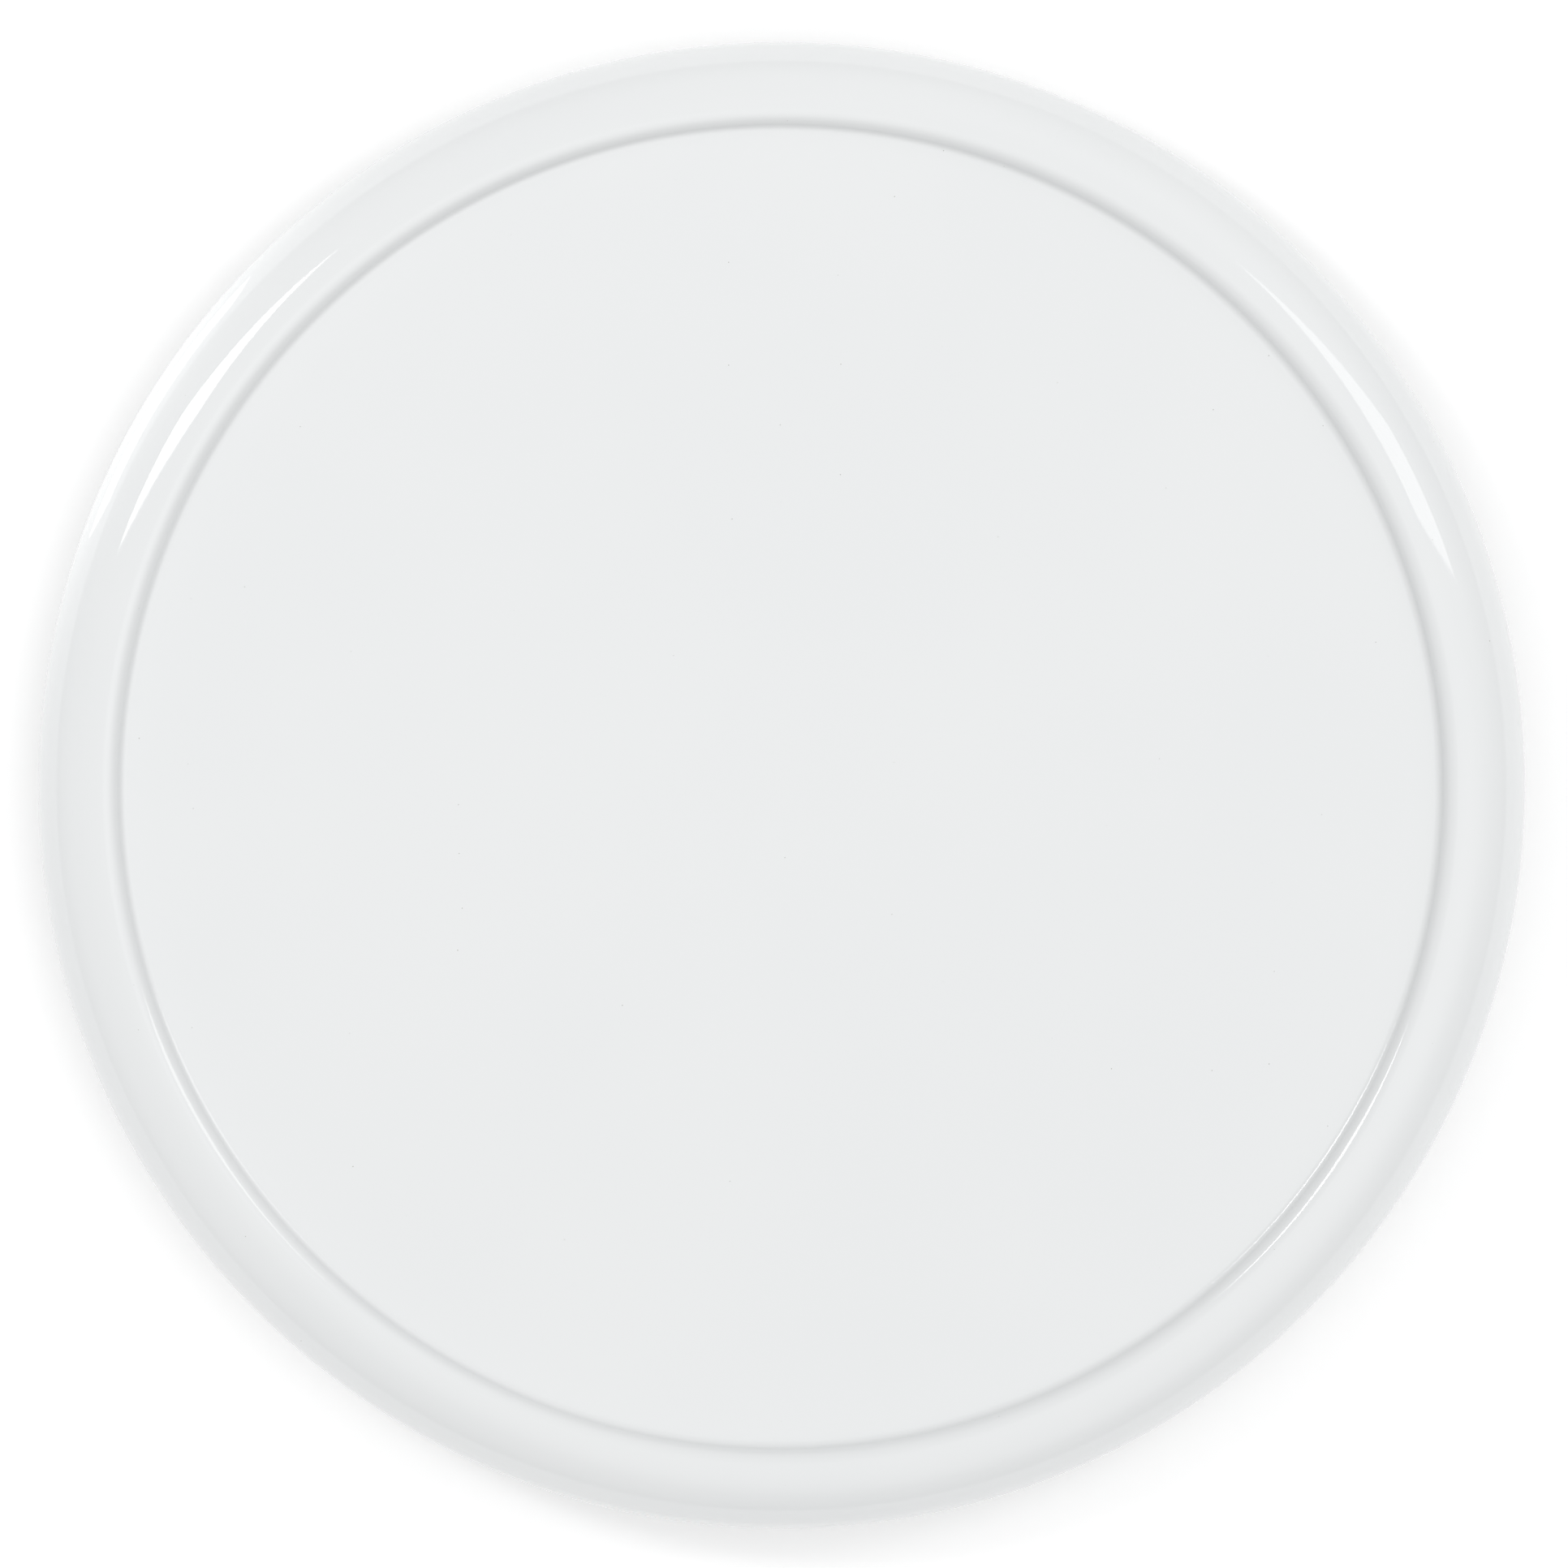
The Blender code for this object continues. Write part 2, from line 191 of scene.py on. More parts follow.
def add_swept(work, sections, looped):
    """Skin a list of equal point loops, with flat ends unless the list is looped."""
    loops = [[work.verts.new(point * MM) for point in section] for section in sections]
    pairs = list(zip(loops, loops[1:]))
    if looped:
        pairs.append((loops[-1], loops[0]))
    for first, second in pairs:
        for i in range(len(first)):
            j = (i + 1) % len(first)
            work.faces.new((first[i], first[j], second[j], second[i]))
    if not looped:
        work.faces.new(loops[0])
        work.faces.new(loops[-1])


def add_rib(work, path, tip, thickness, azimuth):
    """A moulded rib that hangs from a path of (radius, root height) down to tip, flared at its root."""
    turn = Matrix.Rotation(math.radians(azimuth), 3, "Z")
    flare, draft, edge = 0.5, 0.12, 0.25
    sections = []
    for radius, root in path:
        depth = max(root - tip, 0.05)
        bend = min(flare, depth * 0.45)
        round_off = min(edge, depth * 0.3)
        half = thickness / 2.0
        right = [
            (half + bend, root + 0.3), (half + bend, root), (half + 0.3 * bend, root - 0.3 * bend),
            (half, root - bend), (half - draft, tip + round_off),
            (half - draft - 0.3 * round_off, tip + 0.3 * round_off), (half - draft - round_off, tip),
        ]
        left = [(-y, z) for y, z in reversed(right)]
        sections.append([turn @ Vector((radius, y, z)) for y, z in right + left])
    add_swept(work, sections, False)


def on_circle(radius, azimuth, height=0.0):
    angle = math.radians(azimuth)
    return Vector((radius * math.cos(angle), radius * math.sin(angle), height))


def add_pin_marks(work, marks, azimuth, face):
    """Ejector-pin marks, each (distance from the axis, radius), a little proud of a face that looks down."""
    low, high, bend, sides = face - PIN_PROUD, face + 0.3, 0.1, 24
    for distance, radius in marks:
        outline = rounded([(radius * 0.3, low, 0.0), (radius, low, bend, 2), (radius, high, 0.0)])
        place = Matrix.Translation(on_circle(distance, azimuth) * MM)
        add_turned(work, outline, sides, False, place)


def mesh_from(name, work):
    bmesh.ops.recalc_face_normals(work, faces=work.faces)
    mesh = bpy.data.meshes.new(name)
    work.to_mesh(mesh)
    work.free()
    return mesh


def add_piece(name, work, material, node, location=(0.0, 0.0, 0.0)):
    """Make the piece that stands for a CAD node, on that node's body."""
    mesh = mesh_from(name, work)
    mesh.materials.append(material)
    item = bpy.data.objects.new(name, mesh)
    item.location = location
    bpy.context.scene.collection.objects.link(item)
    shade(mesh)
    body = next(b for b, nodes in frame["record"]["behaviour"]["bodies"].items() if node in nodes)
    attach(item, body)
    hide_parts(node)
    return item


def shade(mesh, angle=35.0):
    for polygon in mesh.polygons:
        polygon.use_smooth = True
    mesh.set_sharp_from_angle(angle=math.radians(angle))


def cut(item, work):
    """Cut a closed shape out of a piece for good."""
    cutter = bpy.data.objects.new("cutter", mesh_from("cutter", work))
    bpy.context.scene.collection.objects.link(cutter)
    modifier = item.modifiers.new("cut", "BOOLEAN")
    modifier.solver = "EXACT"
    modifier.operation = "DIFFERENCE"
    modifier.object = cutter
    result = item.evaluated_get(bpy.context.evaluated_depsgraph_get())
    mesh = bpy.data.meshes.new_from_object(result)
    item.modifiers.clear()
    old = item.data
    item.data = mesh
    mesh.name = item.name
    bpy.data.meshes.remove(old)
    spare = cutter.data
    bpy.data.objects.remove(cutter)
    bpy.data.meshes.remove(spare)
    shade(mesh)


# ---------------------------------------------------------------- materials

class Surface:
    """A Principled material whose details are wired up by small steps. Texture space is the object's."""

    def __init__(self, name, colour, roughness, metallic=0.0, ior=1.5):
        self.material = bpy.data.materials.new(name)
        self.material.use_nodes = True
        self.tree = self.material.node_tree
        self.shader = self.tree.nodes["Principled BSDF"]
        self.colour = (*colour, 1.0)
        self.shader.inputs["Base Color"].default_value = self.colour
        self.shader.inputs["Roughness"].default_value = roughness
        self.shader.inputs["Metallic"].default_value = metallic
        self.shader.inputs["IOR"].default_value = ior
        self.place = self.add("ShaderNodeTexCoord").outputs["Object"]
        self.bumps = None

    def add(self, kind, **settings):
        node = self.tree.nodes.new(kind)
        for key, value in settings.items():
            setattr(node, key, value)
        return node

    def link(self, source, target):
        self.tree.links.new(source, target)

    def stretched(self, scale, turn=0.0):
        """Texture space stretched by a factor on each axis, after a turn about Z in degrees."""
        node = self.add("ShaderNodeMapping")
        node.inputs["Rotation"].default_value[2] = math.radians(turn)
        node.inputs["Scale"].default_value = scale
        self.link(self.place, node.inputs["Vector"])
        return node.outputs["Vector"]

    def noise(self, size, detail=2.0, rough=0.5, place=None):
        """Noise whose blobs are about size millimetres across."""
        node = self.add("ShaderNodeTexNoise")
        node.inputs["Scale"].default_value = 1.0 / (size * MM)
        node.inputs["Detail"].default_value = detail
        node.inputs["Roughness"].default_value = rough
        self.link(place or self.place, node.inputs["Vector"])
        return node.outputs["Fac"]

    def ramp(self, source, low, high, to_low=0.0, to_high=1.0):
        node = self.add("ShaderNodeMapRange", interpolation_type="SMOOTHSTEP")
        for key, value in zip(("From Min", "From Max", "To Min", "To Max"), (low, high, to_low, to_high)):
            node.inputs[key].default_value = value
        self.link(source, node.inputs["Value"])
        return node.outputs["Result"]

    def maths(self, operation, first, second):
        node = self.add("ShaderNodeMath", operation=operation)
        for socket, value in zip(node.inputs, (first, second)):
            if isinstance(value, float):
                socket.default_value = value
            else:
                self.link(value, socket)
        return node.outputs["Value"]

    def tint(self, factor, colour):
        """Blend the base colour towards another one by a factor."""
        node = self.add("ShaderNodeMix", data_type="RGBA")
        base = self.shader.inputs["Base Color"]
        if base.is_linked:
            self.link(base.links[0].from_socket, node.inputs["A"])
        else:
            node.inputs["A"].default_value = self.colour
        self.link(factor, node.inputs["Factor"])
        node.inputs["B"].default_value = (*colour, 1.0)
        self.link(node.outputs["Result"], base)

    def rough(self, source):
        self.link(source, self.shader.inputs["Roughness"])

    def bump(self, height, depth):
        """Raise the surface by a height texture; depth is in millimetres."""
        node = self.add("ShaderNodeBump")
        node.inputs["Distance"].default_value = depth * MM
        self.link(height, node.inputs["Height"])
        if self.bumps:
            self.link(self.bumps, node.inputs["Normal"])
        self.bumps = node.outputs["Normal"]
        self.link(self.bumps, self.shader.inputs["Normal"])

    def specks(self, cell, radius, share):
        """Round specks: the share of cells that hold one, cell and radius in millimetres."""
        node = self.add("ShaderNodeTexVoronoi", voronoi_dimensions="2D")
        node.inputs["Scale"].default_value = 1.0 / (cell * MM)
        self.link(self.place, node.inputs["Vector"])
        chance = self.add("ShaderNodeSeparateColor")
        self.link(node.outputs["Color"], chance.inputs["Color"])
        size = self.ramp(chance.outputs["Green"], 0.0, 1.0, 0.3 * radius / cell, radius / cell)
        inside = self.maths("LESS_THAN", node.outputs["Distance"], size)
        present = self.maths("LESS_THAN", chance.outputs["Red"], share)
        return self.maths("MULTIPLY", inside, present)

    def hairlines(self, turn, spacing, length, share):
        """Straight fine scratches along one direction."""
        place = self.stretched((spacing / length, 1.0, 1.0), turn)
        lines = self.noise(spacing, 1.0, 0.5, place)
        return self.ramp(lines, 1.0 - share, 1.0 - share + 0.02)


def gloss_plastic(name):
    """Hard glossy white moulded plastic, wiped many times and nearly clean."""
    look = Surface(name, (0.80, 0.812, 0.815), 0.06, ior=1.52)
    haze = look.noise(45.0, 3.0)
    wiped = look.noise(6.0, 2.0, 0.6, look.stretched((0.25, 1.0, 1.0), 35.0))
    look.rough(look.maths("ADD", look.ramp(haze, 0.35, 0.75, 0.045, 0.075),
                          look.ramp(wiped, 0.45, 0.8, 0.0, 0.02)))
    look.bump(look.noise(28.0, 1.0), 0.012)
    look.bump(look.noise(2.4, 2.0), 0.0006)
    for turn, spacing in ((12.0, 0.5), (74.0, 0.7), (131.0, 0.6)):
        look.bump(look.hairlines(turn, spacing, 14.0, 0.17), -0.0004)
    look.tint(look.ramp(look.noise(60.0, 2.0), 0.3, 0.75, 0.0, 0.35), (0.775, 0.79, 0.797))
    look.tint(look.specks(11.0, 0.10, 0.16), (0.36, 0.35, 0.32))
    return look.material


def satin_plastic(name, colour, grain=0.35):
    """Moulded plastic with a fine spark-eroded grain."""
    look = Surface(name, colour, 0.38, ior=1.5)
    look.rough(look.ramp(look.noise(9.0, 3.0), 0.3, 0.7, 0.32, 0.46))
    look.bump(look.noise(grain, 2.0, 0.6), 0.012)
    look.bump(look.noise(22.0, 2.0), 0.02)
    look.tint(look.ramp(look.noise(14.0, 4.0, 0.6), 0.45, 0.8, 0.0, 0.3), tuple(c * 0.93 for c in colour))
    look.tint(look.specks(7.0, 0.12, 0.12), tuple(c * 0.55 for c in colour))
    return look.material


def turned_steel(name, colour, roughness):
    """Steel strip with rolling lines round the axis and a faint stain."""
    look = Surface(name, colour, roughness, 1.0)
    parts = look.add("ShaderNodeSeparateXYZ")
    look.link(look.place, parts.inputs["Vector"])
    across, along = parts.outputs["X"], parts.outputs["Y"]
    squares = look.maths("ADD", look.maths("MULTIPLY", across, across), look.maths("MULTIPLY", along, along))
    reach = look.maths("SQRT", squares, 0.0)
    joined = look.add("ShaderNodeCombineXYZ")
    look.link(reach, joined.inputs["X"])
    look.link(parts.outputs["Z"], joined.inputs["Y"])
    lines = look.noise(0.12, 3.0, 0.6, joined.outputs["Vector"])
    look.rough(look.ramp(lines, 0.3, 0.7, roughness * 0.8, roughness * 1.3))
    look.bump(lines, 0.003)
    stain = tuple(c * 0.85 for c in colour)
    look.tint(look.ramp(look.noise(5.0, 4.0, 0.6), 0.4, 0.75, 0.0, 0.5), stain)
    return look.material


def polished_steel(name):
    look = Surface(name, (0.60, 0.61, 0.62), 0.08, 1.0)
    look.rough(look.ramp(look.noise(0.8, 3.0), 0.3, 0.8, 0.05, 0.16))
    look.bump(look.noise(0.25, 2.0), 0.0004)
    look.tint(look.ramp(look.noise(1.5, 3.0), 0.5, 0.8, 0.0, 0.4), (0.45, 0.43, 0.40))
    return look.material


def zinc_plate(name):
    look = Surface(name, (0.62, 0.63, 0.63), 0.3, 1.0)
    look.rough(look.ramp(look.noise(1.2, 4.0, 0.7), 0.3, 0.75, 0.22, 0.42))
    look.bump(look.noise(0.2, 3.0, 0.6), 0.004)
    look.tint(look.ramp(look.noise(2.5, 3.0), 0.4, 0.7, 0.0, 0.5), (0.55, 0.56, 0.60))
    return look.material


def rubber(name):
    look = Surface(name, (0.045, 0.045, 0.047), 0.75, ior=1.5)
    look.rough(look.ramp(look.noise(2.0, 4.0, 0.6), 0.3, 0.75, 0.6, 0.9))
    look.bump(look.noise(0.3, 3.0, 0.6), 0.03)
    look.tint(look.ramp(look.noise(3.5, 5.0, 0.65), 0.48, 0.75, 0.0, 0.5), (0.12, 0.118, 0.113))
    look.tint(look.specks(1.6, 0.10, 0.25), (0.30, 0.29, 0.27))
    return look.material


# ---------------------------------------------------------------- pieces

def slope_corners():
    """The two corners of the step from the deck to the crest."""
    lean = math.radians(STEP_SLOPE)
    foot = DECK_R + STEP_FILLET * math.tan(lean / 2.0)
    return foot, foot + LIP_H / math.tan(lean)


def channel(floor, face, plate, side):
    """Corners of the channel that holds a steel track, from outside in; side is 1 if it opens upward."""
    outer = cage_high.x
    inner = CAGE_IN
    lip = face + side * LIP_PROUD
    root = 0.5
    return [
        (outer + LIP_T, plate, root), (outer + LIP_T, lip, 0.4), (outer, lip, 0.3), (outer, floor, 0.15, 2),
        (inner, floor, 0.15, 2), (inner, lip, 0.3), (inner - LIP_T, lip, 0.4), (inner - LIP_T, plate, root),
    ]


def make_tray():
    foot, shoulder = slope_corners()
    slip = WALL_T * math.tan(math.radians(STEP_SLOPE / 2.0))
    inner_r = TRAY_R - WALL_T
    corners = [
        (DECK_R - 6.0, DECK_Z, 0.0),
        (foot, DECK_Z, STEP_FILLET, 10),
        (shoulder, CREST_Z, SHOULDER_FILLET, 18),
        (TRAY_R, CREST_Z, ROLL_R, 60),
        (TRAY_R, SKIRT_Z, 1.0, 6),
        (inner_r, SKIRT_Z, 1.0, 6),
        (inner_r, CREST_Z - WALL_T, ROLL_R - WALL_T, 20),
        (shoulder + slip, CREST_Z - WALL_T, 0.5),
        (foot + DECK_T * math.tan(math.radians(STEP_SLOPE / 2.0)), UNDER_Z, 3.0, 8),
        (RING_RIB_R + 0.85, UNDER_Z, 0.5, 3), (RING_RIB_R + 0.7, RING_RIB_Z, 0.3, 3),
        (RING_RIB_R - 0.7, RING_RIB_Z, 0.3, 3), (RING_RIB_R - 0.85, UNDER_Z, 0.5, 3),
    ]
    corners += channel(upper_high.z + GAP, upper_low.z, UNDER_Z, -1)
    corners.append((CAGE_IN - LIP_T - 4.0, UNDER_Z, 0.0))
    work = bmesh.new()
    add_turned(work, rounded(corners), SIDES, False)

    boss = rounded([
        (SCREW_HOLE_R, BOSS_Z + 10.7, 0.0), (SCREW_HOLE_R, BOSS_Z, 0.25, 3), (BOSS_R, BOSS_Z, 0.6),
        (BOSS_R, COLLAR_Z, 0.3, 3), (COLLAR_R, COLLAR_Z, 0.5), (COLLAR_R, UNDER_Z, 0.6),
        (COLLAR_R + 3.0, UNDER_Z + 0.1, 0.1, 2), (COLLAR_R + 3.0, UNDER_Z + 0.6, 0.0),
    ])
    add_turned(work, boss, SMALL_SIDES, False)

    roll = ROLL_R - WALL_T
    roll_z = CREST_Z - ROLL_R
    inner_path = [(COLLAR_R - 1.0, UNDER_Z), (CAGE_IN - LIP_T + 0.6, UNDER_Z)]
    start = cage_high.x + LIP_T - 0.6
    outer_path = [(start, UNDER_Z), (DECK_R + 1.2, UNDER_Z)]
    step = ((1.7, 0.05), (2.9, 0.3), (3.6, 0.67), (4.1, 1.0))
    outer_path += [(DECK_R + out, UNDER_Z + (roll_z + roll - UNDER_Z) * up) for out, up in step]
    foot_angle = math.asin((OUTER_RIB_Z - roll_z) / roll)
    for k in range(13):
        angle = math.pi / 2.0 + (foot_angle - math.pi / 2.0) * k / 12.0
        outer_path.append((CREST_R + roll * math.cos(angle), roll_z + roll * math.sin(angle)))
    for i in range(RIBS):
        azimuth = 360.0 * i / RIBS
        add_rib(work, inner_path, INNER_RIB_Z, RIB_T, azimuth)
        add_rib(work, outer_path, OUTER_RIB_Z, RIB_T, azimuth)
        add_pin_marks(work, TRAY_PIN_MARKS, azimuth + 180.0 / RIBS, UNDER_Z)
    add_piece("tray_moulding", work, gloss_plastic("tray_gloss_white"), "tray")


def make_races():
    half = (lower_high.x - PITCH_R)
    for name, node, back, face, side in (
        ("upper_race_strip", "upper_race", upper_high.z, upper_low.z, -1),
        ("lower_race_strip", "lower_race", lower_low.z, lower_high.z, 1),
    ):
        groove_z = face - side * GROOVE_D + side * GROOVE_BEND
        reach = math.acos((GROOVE_BEND - GROOVE_D) / GROOVE_BEND)
        outline = rounded([
            (PITCH_R + 2.6, face, 0.0), (PITCH_R + half, face, 0.25, 3), (PITCH_R + half, back, 0.15, 3),
            (PITCH_R - half, back, 0.15, 3), (PITCH_R - half, face, 0.25, 3), (PITCH_R - 2.6, face, 0.0),
        ])
        for k in range(13):
            angle = -reach + 2.0 * reach * k / 12.0
            across, down = GROOVE_BEND * math.sin(angle), GROOVE_BEND * math.cos(angle)
            outline.append((PITCH_R + across, groove_z - side * down))
        work = bmesh.new()
        add_turned(work, outline, SIDES, True)
        add_piece(name, work, turned_steel(name + "_steel", (0.56, 0.57, 0.58), 0.28), node)


def make_balls():
    steel = polished_steel("ball_steel")
    for i in range(BALLS):
        node = f"ball_{i + 1:02d}"
        work = bmesh.new()
        bmesh.ops.create_cube(work, size=2.0)
        bmesh.ops.subdivide_edges(work, edges=work.edges, cuts=11, use_grid_fill=True)
        for vert in work.verts:
            vert.co = vert.co.normalized() * BALL_R * MM
        place = on_circle(PITCH_R, 360.0 * i / BALLS, BALL_Z) * MM
        add_piece(node + "_polished", work, steel, node, place)


def make_cage():
    edge = 0.35
    work = bmesh.new()
    outline = rounded([
        (CAGE_IN, cage_low.z, edge, 3), (cage_high.x, cage_low.z, edge, 3),
        (cage_high.x, cage_high.z, edge, 3), (CAGE_IN, cage_high.z, edge, 3),
    ], closed=True)
    add_turned(work, outline, SIDES, True)
    cage = add_piece("ball_cage_ring", work, satin_plastic("cage_nylon", (0.70, 0.68, 0.60), 0.25),
                     "ball_cage")
    pocket = 3.3
    top = (cage_high.z - cage_low.z) / 2.0 + 0.6
    bowl = []
    for k in range(9):
        height = -top + 2.0 * top * k / 8.0
        bowl.append((math.sqrt(pocket ** 2 - height ** 2 * 0.9), BALL_Z + height))
    cutters = bmesh.new()
    for i in range(BALLS):
        add_turned(cutters, bowl, 40, False, Matrix.Translation(on_circle(PITCH_R, 360.0 * i / BALLS) * MM))
    cut(cage, cutters)


def make_base():
    inner_wall = BASE_R - BASE_WALL_T
    corners = list(reversed(channel(PLATE_TOP, lower_high.z, PLATE_TOP, 1)))
    corners[3] = (CAGE_IN, PLATE_TOP, 0.1, 2)
    corners[4] = (cage_high.x, PLATE_TOP, 0.1, 2)
    corners += [
        (BASE_R, PLATE_TOP, 2.0, 10), (BASE_R, BASE_Z, 0.6, 4), (inner_wall + 0.3, BASE_Z, 0.5, 4),
        (inner_wall, PLATE_UNDER, 0.8, 4), (BASE_RING_R + 0.85, PLATE_UNDER, 0.5, 3),
        (BASE_RING_R + 0.7, BASE_RING_Z, 0.3, 3), (BASE_RING_R - 0.7, BASE_RING_Z, 0.3, 3),
        (BASE_RING_R - 0.85, PLATE_UNDER, 0.5, 3),
        (TUBE_R + 0.1, PLATE_UNDER, 0.7, 4), (TUBE_R, BASE_Z, 0.4, 3),
        (TUBE_R - TUBE_T, BASE_Z, 0.3, 3), (TUBE_R - TUBE_T, HUB_UNDER, 0.3, 3),
        (HUB_BORE_R, HUB_UNDER, 0.2, 2), (HUB_BORE_R, PLATE_TOP, 0.2, 2),
    ]
    work = bmesh.new()
    add_turned(work, rounded(corners, closed=True), SIDES, True)
    rib_path = [(TUBE_R - 1.0, PLATE_UNDER), (inner_wall + 1.0, PLATE_UNDER)]
    for i in range(RIBS):
        azimuth = 360.0 * i / RIBS
        add_rib(work, rib_path, BASE_RIB_Z, RIB_T, azimuth)
        add_pin_marks(work, BASE_PIN_MARKS, azimuth + 180.0 / RIBS, PLATE_UNDER)
    socket = FOOT_R + GAP
    for i in range(FEET):
        boss = rounded([
            (socket, foot_high.z + GAP, 0.0), (socket, BASE_Z, 0.3, 3), (FOOT_BOSS_R, BASE_Z, 0.4, 3),
            (FOOT_BOSS_R + 0.1, PLATE_UNDER, 0.6, 4), (FOOT_BOSS_R + 1.0, PLATE_UNDER + 0.1, 0.1, 2),
            (FOOT_BOSS_R + 1.0, PLATE_UNDER + 0.6, 0.0),
        ])
        centre = on_circle(FOOT_CIRCLE_R, 360.0 * i / FEET)
        add_turned(work, boss, SMALL_SIDES, False, Matrix.Translation(centre * MM))
    material = satin_plastic("base_satin_white", BASE_WHITE)
    add_piece("base_moulding", work, material, "base")


def make_feet():
    """Rubber pads with ring grooves under them; each bottom is flat on the table."""
    material = rubber("foot_rubber")
    groove = 0.35
    corners = [(1.1, groove, 0.0), (1.5, groove, 0.1, 2), (1.7, 0.0, 0.12, 2)]
    for ring in (3.4, 5.3):
        corners += [(ring - 0.5, 0.0, 0.12, 2), (ring - 0.3, groove, 0.1, 2),
                    (ring + 0.3, groove, 0.1, 2), (ring + 0.5, 0.0, 0.12, 2)]
    corners += [(FOOT_R, 0.0, 1.0, 8), (FOOT_R, foot_high.z, 0.3, 3), (2.0, foot_high.z, 0.0)]
    for i in range(FEET):
        work = bmesh.new()
        add_turned(work, rounded(corners), 72, False)
        place = on_circle(FOOT_CIRCLE_R, 360.0 * i / FEET) * MM
        add_piece(f"foot_{i + 1}_pad", work, material, f"foot_{i + 1}", place)


def make_bush():
    inner, outer = 7.35, 8.65
    flange_z = PLATE_TOP + GAP
    outline = rounded([
        (inner, bush_low.z, 0.3, 3), (outer, bush_low.z, 0.3, 3), (outer, flange_z, 0.2, 3),
        (bush_high.x, flange_z, 0.3, 3), (bush_high.x, bush_high.z, 0.3, 3), (inner, bush_high.z, 0.3, 3),
    ], closed=True)
    work = bmesh.new()
    add_turned(work, outline, SMALL_SIDES, True)
    add_piece("pivot_bush_sleeve", work, satin_plastic("bush_acetal", (0.06, 0.06, 0.065), 0.2),
              "pivot_bush")


def make_washer():
    outline = rounded([
        (SCREW_HOLE_R, washer_low.z, 0.1, 2), (washer_high.x, washer_low.z, 0.25, 4),
        (washer_high.x, washer_high.z, 0.1, 2), (SCREW_HOLE_R, washer_high.z, 0.1, 2),
    ], closed=True)
    work = bmesh.new()
    add_turned(work, outline, SMALL_SIDES, True)
    add_piece("pivot_washer_plate", work, zinc_plate("washer_zinc"), "pivot_washer")


def make_screw():
    """Pan-head screw with a rolled thread and a cross recess."""
    seat = washer_low.z - GAP
    core, crest, pitch = 1.15, 1.5, 1.06
    head = rounded([
        (0.6, screw_low.z, 0.0), (screw_high.x, screw_low.z, 1.1, 8), (screw_high.x, seat, 0.2, 3),
        (core, seat, 0.2, 3), (core, seat + 1.0, 0.0),
    ])
    work = bmesh.new()
    add_turned(work, head, 64, False)
    sides = 48
    length = screw_high.z - seat - 0.6
    rows = int(length / pitch * 10)
    sections = []
    for row in range(rows + 1):
        height = seat + 0.6 + length * row / rows
        section = []
        for i in range(sides):
            turn = i / sides
            phase = (height / pitch - turn) % 1.0
            ridge = max(0.0, 1.0 - abs(phase - 0.5) * 4.0)
            taper = min(1.0, (screw_high.z - height) / 2.2)
            radius = (core + (crest - core) * ridge) * max(taper, 0.12)
            angle = 2.0 * math.pi * turn
            section.append(Vector((radius * math.cos(angle), radius * math.sin(angle), height)))
        sections.append(section)
    add_swept(work, sections, False)
    screw = add_piece("pivot_screw_pan_head", work, zinc_plate("screw_zinc"), "pivot_screw")
    depth, span, arm = 1.1, 1.9, 0.42
    for turn in (0.0, 90.0):
        shape = Matrix.Rotation(math.radians(turn), 3, "Z")
        loops = []
        for height, shrink in ((screw_low.z - 0.5, 1.1), (screw_low.z + depth, 0.55)):
            reach = span * shrink
            loop = [(-reach, -arm), (reach, -arm), (reach, arm), (-reach, arm)]
            loops.append([shape @ Vector((x, y, height)) for x, y in loop])
        cutter = bmesh.new()
        add_swept(cutter, loops, False)
        cut(screw, cutter)


def make_cap():
    """A disc with four snap tabs and a pry notch."""
    rim = cap_high.x
    top = 3.5
    snap = rim - 0.2
    work = bmesh.new()
    disc = rounded([
        (rim * 0.4, cap_low.z + 0.15, 0.0), (rim * 0.55, cap_low.z + 0.15, 0.5, 3),
        (rim * 0.6, cap_low.z, 0.5, 3),
        (rim, cap_low.z, 0.4), (rim, top, 0.25, 3), (rim * 0.4, top, 0.0),
    ])
    add_turned(work, disc, SMALL_SIDES, False)
    section = rounded([
        (snap - 1.1, top - 0.2, 0.0), (snap - 0.1, top - 0.2, 0.0), (snap - 0.1, cap_high.z - 0.7, 0.1, 2),
        (snap + 0.12, cap_high.z - 0.4, 0.1, 2), (snap - 0.2, cap_high.z, 0.15, 3),
        (snap - 1.1, cap_high.z, 0.2, 3),
    ], closed=True)
    for tab in range(4):
        sections = []
        for k in range(13):
            azimuth = 90.0 * tab + 14.0 + 62.0 * k / 12.0
            angle = math.radians(azimuth)
            sections.append([Vector((r * math.cos(angle), r * math.sin(angle), z)) for r, z in section])
        add_swept(work, sections, False)
    material = satin_plastic("cap_satin_white", BASE_WHITE)
    cap = add_piece("base_cap_cover", work, material, "base_cap")
    notch = bmesh.new()
    add_turned(notch, [(1.4, cap_low.z - 1.0), (1.4, cap_low.z + 0.7)], 32, False,
               Matrix.Translation(on_circle(rim, 0.0) * MM))
    cut(cap, notch)


# ---------------------------------------------------------------- stage, light and camera

FLOOR_R = 9.0            # metres

# Glows on the dome: azimuth, angle from straight up, and radiance added at the middle.
GLOWS = ((20.0, 30.0, 0.40), (300.0, 30.0, 0.68), (60.0, 60.0, 0.26), (200.0, 80.0, 0.15))
GLOW_REACH = 40.0        # degrees from a glow's middle to its edge
HORIZON_LEVEL = 0.42
DOME_LEVEL = 0.65
DOME_RISE = 0.6          # sine of the elevation where the dome reaches its full level

# Camera, in metres
CAMERA_RISE = 1.5        # over the tray's widest circle
CAMERA_SHIFT = (0.025, 0.035)
WIDEST_Z = 0.016
VIEW_WIDTH = 0.3213      # what the picture's width spans at the widest circle


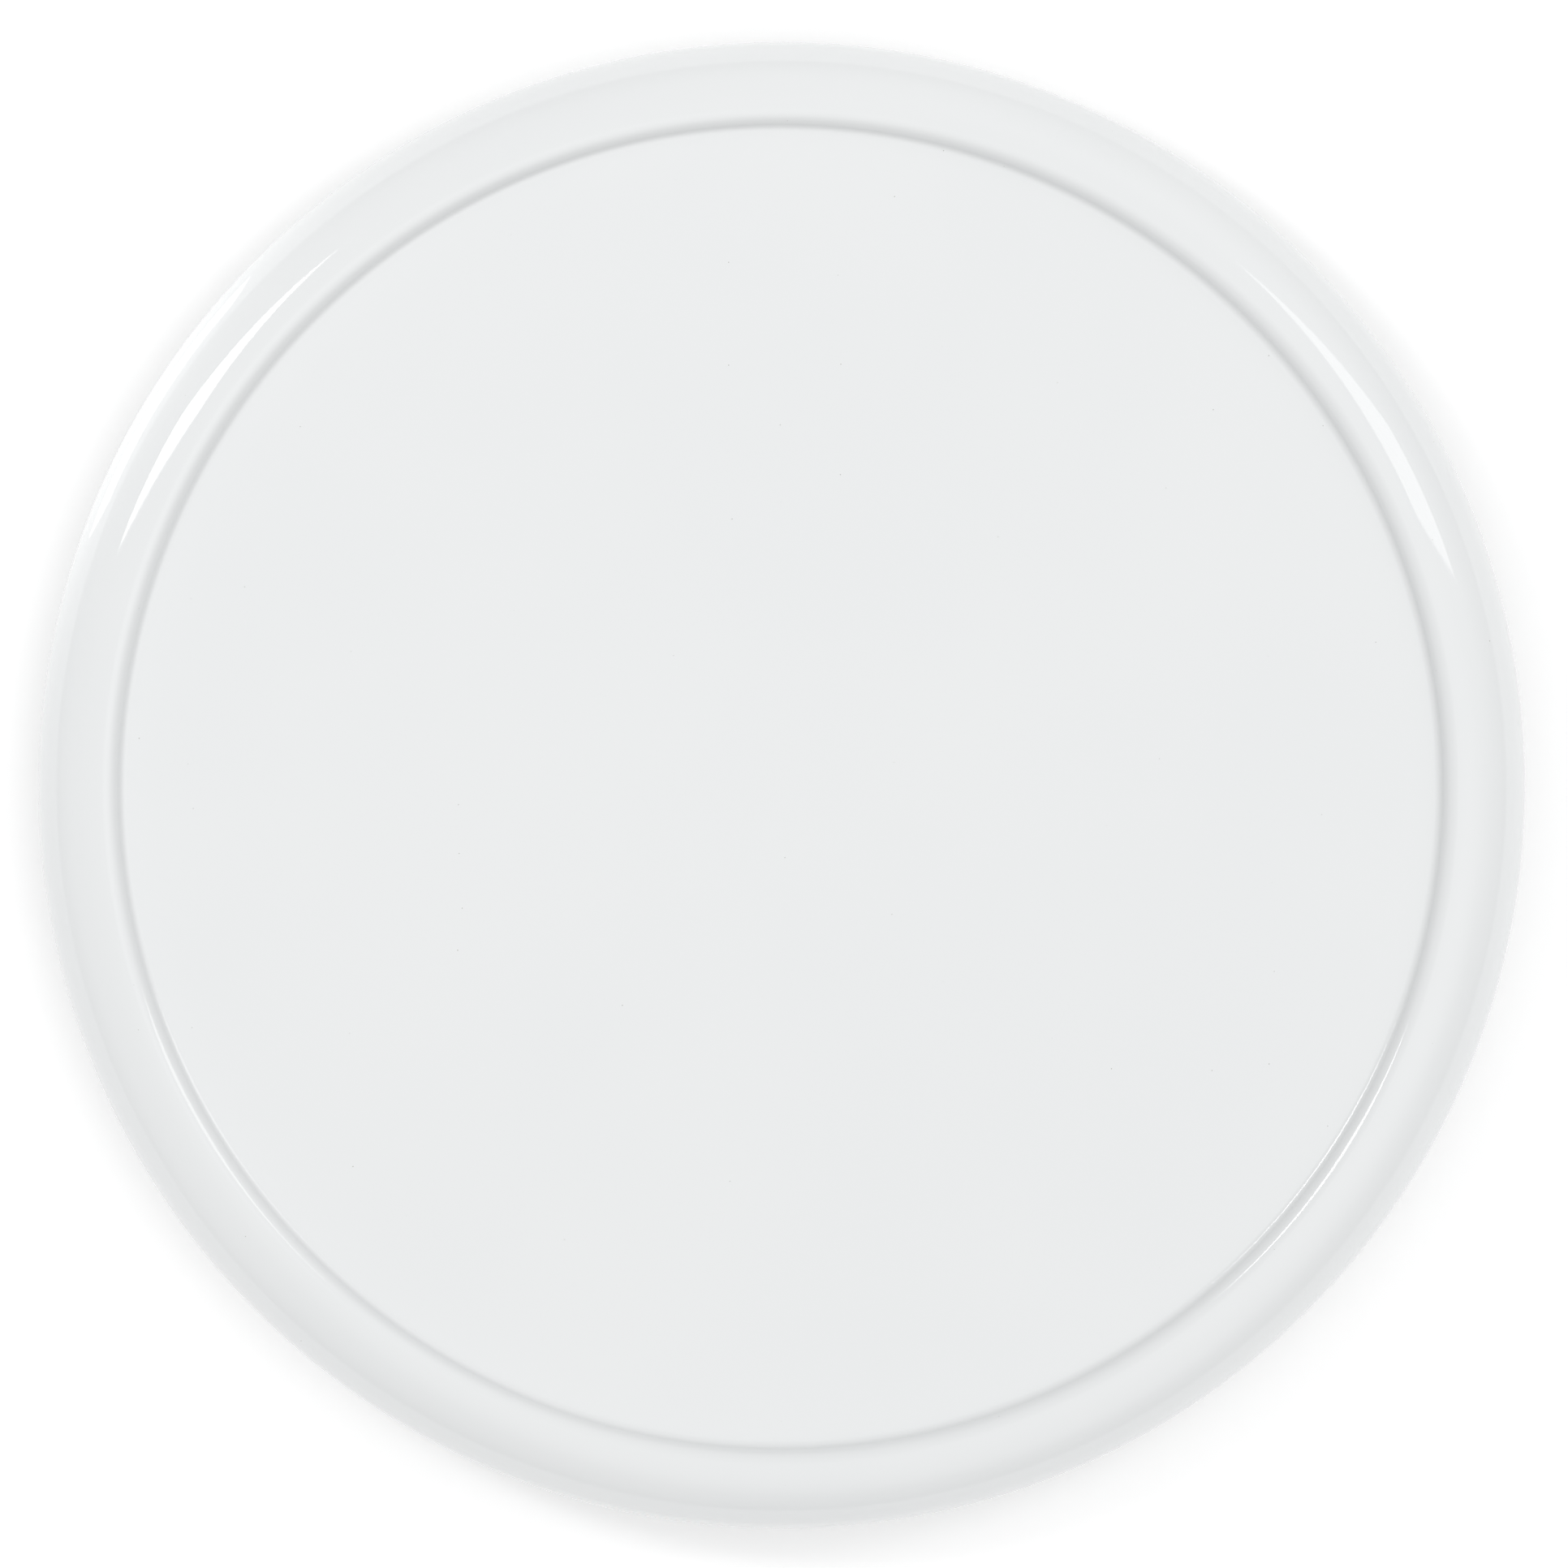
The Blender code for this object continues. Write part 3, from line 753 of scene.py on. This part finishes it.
def make_floor():
    """A wide matt white floor with a little light of its own, as a lit studio sweep has."""
    work = bmesh.new()
    bmesh.ops.create_circle(work, cap_ends=True, segments=96, radius=FLOOR_R)
    mesh = mesh_from("floor", work)
    look = Surface("floor_white", (0.93, 0.93, 0.93), 0.8)
    look.rough(look.ramp(look.noise(120.0, 3.0), 0.3, 0.7, 0.75, 0.85))
    look.shader.inputs["Specular IOR Level"].default_value = 0.2
    look.shader.inputs["Emission Color"].default_value = (1.0, 1.0, 1.0, 1.0)
    look.shader.inputs["Emission Strength"].default_value = 0.18
    mesh.materials.append(look.material)
    floor = bpy.data.objects.new("floor", mesh)
    bpy.context.scene.collection.objects.link(floor)


def make_panel(name, centre, size, radiance, turn, tilt=0.0):
    """A rectangular light panel at a centre in metres; it looks down at tilt 0 and to the axis at tilt 90."""
    light = bpy.data.lights.new(name, "AREA")
    light.shape = "RECTANGLE"
    light.size, light.size_y = size
    light.energy = radiance * math.pi * size[0] * size[1]
    lamp = bpy.data.objects.new(name, light)
    lamp.location = centre
    lamp.rotation_euler = (0.0, math.radians(tilt), math.radians(turn))
    lamp.visible_camera = False
    bpy.context.scene.collection.objects.link(lamp)


def make_world():
    """A pale even room, a little darker towards the horizon, with broad soft glows overhead."""
    world = bpy.data.worlds.new("studio")
    world.use_nodes = True
    bpy.context.scene.world = world
    tree = world.node_tree
    background = tree.nodes["Background"]
    direction = tree.nodes.new("ShaderNodeTexCoord").outputs["Generated"]
    height = tree.nodes.new("ShaderNodeSeparateXYZ")
    tree.links.new(direction, height.inputs[0])
    sky = tree.nodes.new("ShaderNodeMapRange")
    sky.interpolation_type = "SMOOTHSTEP"
    sky.inputs["From Max"].default_value = DOME_RISE
    sky.inputs["To Min"].default_value = HORIZON_LEVEL
    sky.inputs["To Max"].default_value = DOME_LEVEL
    tree.links.new(height.outputs["Z"], sky.inputs["Value"])
    total = sky.outputs["Result"]
    for azimuth, polar, glow in GLOWS:
        towards = on_circle(math.sin(math.radians(polar)), azimuth, math.cos(math.radians(polar)))
        dot = tree.nodes.new("ShaderNodeVectorMath")
        dot.operation = "DOT_PRODUCT"
        dot.inputs[1].default_value = towards
        tree.links.new(direction, dot.inputs[0])
        patch = tree.nodes.new("ShaderNodeMapRange")
        patch.interpolation_type = "SMOOTHSTEP"
        patch.inputs["From Min"].default_value = math.cos(math.radians(GLOW_REACH))
        patch.inputs["To Max"].default_value = glow
        tree.links.new(dot.outputs["Value"], patch.inputs["Value"])
        join = tree.nodes.new("ShaderNodeVectorMath")
        tree.links.new(total, join.inputs[0])
        tree.links.new(patch.outputs["Result"], join.inputs[1])
        total = join.outputs["Vector"]
    tree.links.new(total, background.inputs["Color"])


def make_camera():
    """Looking down from a little off the axis, with the top of the picture towards +Y."""
    data = bpy.data.cameras.new("camera")
    data.sensor_width = 36.0
    data.clip_start = 0.05
    data.lens = data.sensor_width * CAMERA_RISE / VIEW_WIDTH
    aim = Vector((0.7 * MM, 0.6 * MM, WIDEST_Z))
    camera = bpy.data.objects.new("camera", data)
    camera.location = (*CAMERA_SHIFT, WIDEST_Z + CAMERA_RISE)
    tilt = camera.location - aim
    camera.rotation_euler = (-math.atan2(tilt.y, tilt.z), math.atan2(tilt.x, tilt.z), 0.0)
    bpy.context.scene.collection.objects.link(camera)
    bpy.context.scene.camera = camera


make_tray()
make_races()
make_balls()
make_cage()
make_base()
make_feet()
make_bush()
make_washer()
make_screw()
make_cap()
make_floor()
make_panel("panel_left", (-1.00, 0.575, 1.22), (0.70, 0.33), 8.5, -5.0)
make_panel("panel_right", (1.04, 0.545, 1.22), (0.88, 0.40), 2.4, 12.0)
make_panel("card_table", on_circle(0.214, 148.5, 0.001), (0.064, 0.078), 3.0, 148.5, 180.0)
make_world()
make_camera()
bpy.context.scene.view_settings.view_transform = "Standard"
